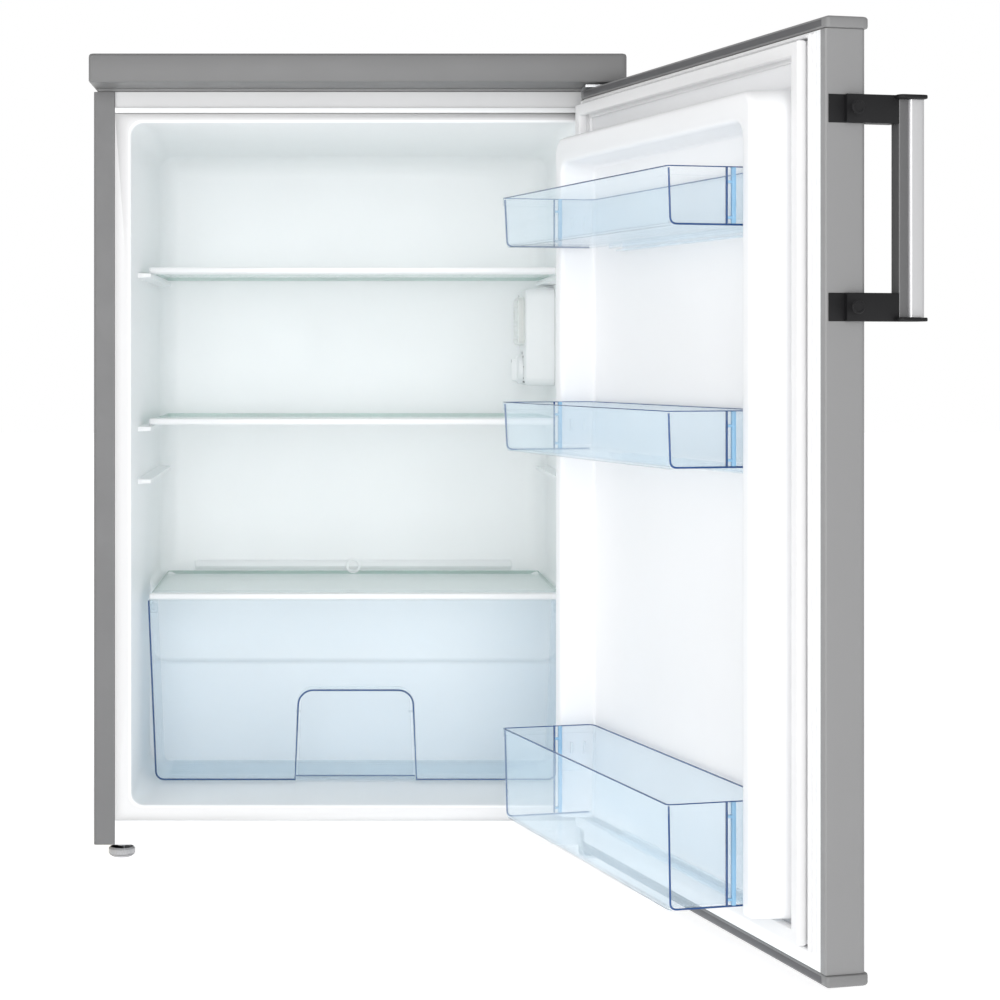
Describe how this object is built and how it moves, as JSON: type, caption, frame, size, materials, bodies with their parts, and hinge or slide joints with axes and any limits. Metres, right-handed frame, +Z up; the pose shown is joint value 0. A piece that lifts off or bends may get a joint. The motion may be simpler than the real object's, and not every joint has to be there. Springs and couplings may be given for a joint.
{
  "type": "under-counter larder fridge",
  "caption": "Under-counter mini fridge with a hinged door, glass shelves, a crisper drawer, door bins, a bar handle and its compressor and condenser at the back.",
  "frame": {"origin": "on the floor, under the middle of the bounding box of the fridge with its door open as at rest", "axes": "+X to the right as seen from the front, +Y from the front towards the back, +Z up"},
  "size_m": [0.7401, 1.0802, 0.845],
  "materials": {
    "grey_enamel": "silver-grey painted steel",
    "worktop_grey": "grey textured laminate with a plastic edge",
    "cap_grey": "grey moulded plastic",
    "trim_grey": "light grey moulded plastic",
    "white_liner": "white vacuum-formed polystyrene",
    "white_plastic": "white moulded plastic",
    "foam": "rigid polyurethane foam",
    "zinc": "zinc-plated steel",
    "aluminium": "satin aluminium",
    "black_paint": "black painted steel",
    "black_plastic": "black moulded plastic",
    "rubber": "black rubber",
    "copper": "copper tube",
    "gasket_grey": "soft light grey vinyl seal",
    "foot_grey": "grey nylon",
    "shelf_glass": "clear tempered glass with a green edge",
    "clear_blue": "clear blue-tinted polystyrene",
    "lamp_white": "translucent white plastic"
  },
  "bodies": {
    "cabinet": {"side_panel_left": "grey_enamel", "side_panel_right": "grey_enamel", "worktop": "worktop_grey", "upper_trim": "trim_grey", "lower_trim": "white_plastic", "inner_liner": "white_liner", "insulation": "foam", "evaporator_plate": "aluminium", "back_panel": "zinc", "bay_sheet": "zinc", "base_plate": "zinc", "cable_inlet": "black_plastic", "rear_skid_left": "foot_grey", "rear_skid_right": "foot_grey", "upper_hinge_bracket": "zinc", "lower_hinge_bracket": "zinc", "compressor": "black_paint", "rubber_mount_1": "rubber", "rubber_mount_2": "rubber", "rubber_mount_3": "rubber", "rubber_mount_4": "rubber", "start_box": "black_plastic", "drip_pan": "black_plastic", "drain_spout": "white_plastic", "condenser_tube": "black_paint", "condenser_rail_left": "black_paint", "condenser_rail_right": "black_paint", "filter_drier": "copper", "suction_tube": "copper", "lamp_housing": "white_plastic", "lamp_lens": "lamp_white", "lamp": "lamp_white"},
    "foot_screw_left": {"foot_stem_left": "zinc"},
    "foot_wheel_left": {"foot_pad_left": "foot_grey"},
    "foot_screw_right": {"foot_stem_right": "zinc"},
    "foot_wheel_right": {"foot_pad_right": "foot_grey"},
    "shelf_top": {"shelf_top_glass": "shelf_glass", "shelf_top_trim": "white_plastic"},
    "shelf_middle": {"shelf_middle_glass": "shelf_glass", "shelf_middle_trim": "white_plastic"},
    "shelf_bottom": {"shelf_bottom_glass": "shelf_glass", "shelf_bottom_trim": "white_plastic"},
    "crisper": {"crisper_drawer": "clear_blue"},
    "thermostat": {"thermostat_knob": "white_plastic"},
    "door": {"door_skin": "grey_enamel", "door_insulation": "foam", "door_liner": "white_liner", "door_cap_top": "cap_grey", "door_cap_bottom": "cap_grey", "hinge_bush_top": "white_plastic", "hinge_bush_bottom": "white_plastic", "door_gasket": "gasket_grey", "handle_bracket_upper": "black_plastic", "handle_bracket_lower": "black_plastic", "handle_bar": "aluminium", "screw_cap_upper": "black_plastic", "screw_cap_lower": "black_plastic"},
    "bin_top": {"door_bin_top": "clear_blue"},
    "bin_middle": {"door_bin_middle": "clear_blue"},
    "bin_bottom": {"door_bin_bottom": "clear_blue"}
  },
  "joints": [
    {"name": "door_hinge", "type": "hinge", "parent": "cabinet", "child": "door", "pos_m": [0.16256, -0.01083, 0.4135], "axis": [0, 0, 1], "range_deg": [-105, 25]},
    {"name": "shelf_top_slide", "type": "slide", "parent": "cabinet", "child": "shelf_top", "axis": [0, -1, 0], "range_m": [0, 0.14]},
    {"name": "shelf_middle_slide", "type": "slide", "parent": "cabinet", "child": "shelf_middle", "axis": [0, -1, 0], "range_m": [0, 0.14]},
    {"name": "shelf_bottom_slide", "type": "slide", "parent": "cabinet", "child": "shelf_bottom", "axis": [0, -1, 0], "range_m": [0, 0.14]},
    {"name": "crisper_slide", "type": "slide", "parent": "cabinet", "child": "crisper", "axis": [0, -1, 0], "range_m": [0, 0.14]},
    {"name": "bin_top_lift", "type": "slide", "parent": "door", "child": "bin_top", "axis": [0, 0, 1], "range_m": [0, 0.03]},
    {"name": "bin_middle_lift", "type": "slide", "parent": "door", "child": "bin_middle", "axis": [0, 0, 1], "range_m": [0, 0.03]},
    {"name": "bin_bottom_lift", "type": "slide", "parent": "door", "child": "bin_bottom", "axis": [0, 0, 1], "range_m": [0, 0.03]},
    {"name": "thermostat_turn", "type": "hinge", "parent": "cabinet", "child": "thermostat", "pos_m": [0.10656, 0.37097, 0.517], "axis": [-1, 0, 0], "range_deg": [-150, 150]},
    {"name": "foot_left_height", "type": "slide", "parent": "cabinet", "child": "foot_screw_left", "axis": [0, 0, -1], "range_m": [0, 0.012]},
    {"name": "foot_left_turn", "type": "hinge", "parent": "foot_screw_left", "child": "foot_wheel_left", "pos_m": [-0.34294, 0.05067, 0.005], "axis": [0, 0, -1], "continuous": true},
    {"name": "foot_right_height", "type": "slide", "parent": "cabinet", "child": "foot_screw_right", "axis": [0, 0, -1], "range_m": [0, 0.012]},
    {"name": "foot_right_turn", "type": "hinge", "parent": "foot_screw_right", "child": "foot_wheel_right", "pos_m": [0.15806, 0.05067, 0.005], "axis": [0, 0, -1], "continuous": true}
  ],
  "couplings": [
    {"joint": "foot_left_turn", "follows": "foot_left_height", "rad_per_m": 5026.5},
    {"joint": "foot_right_turn", "follows": "foot_right_height", "rad_per_m": 5026.5}
  ]
}
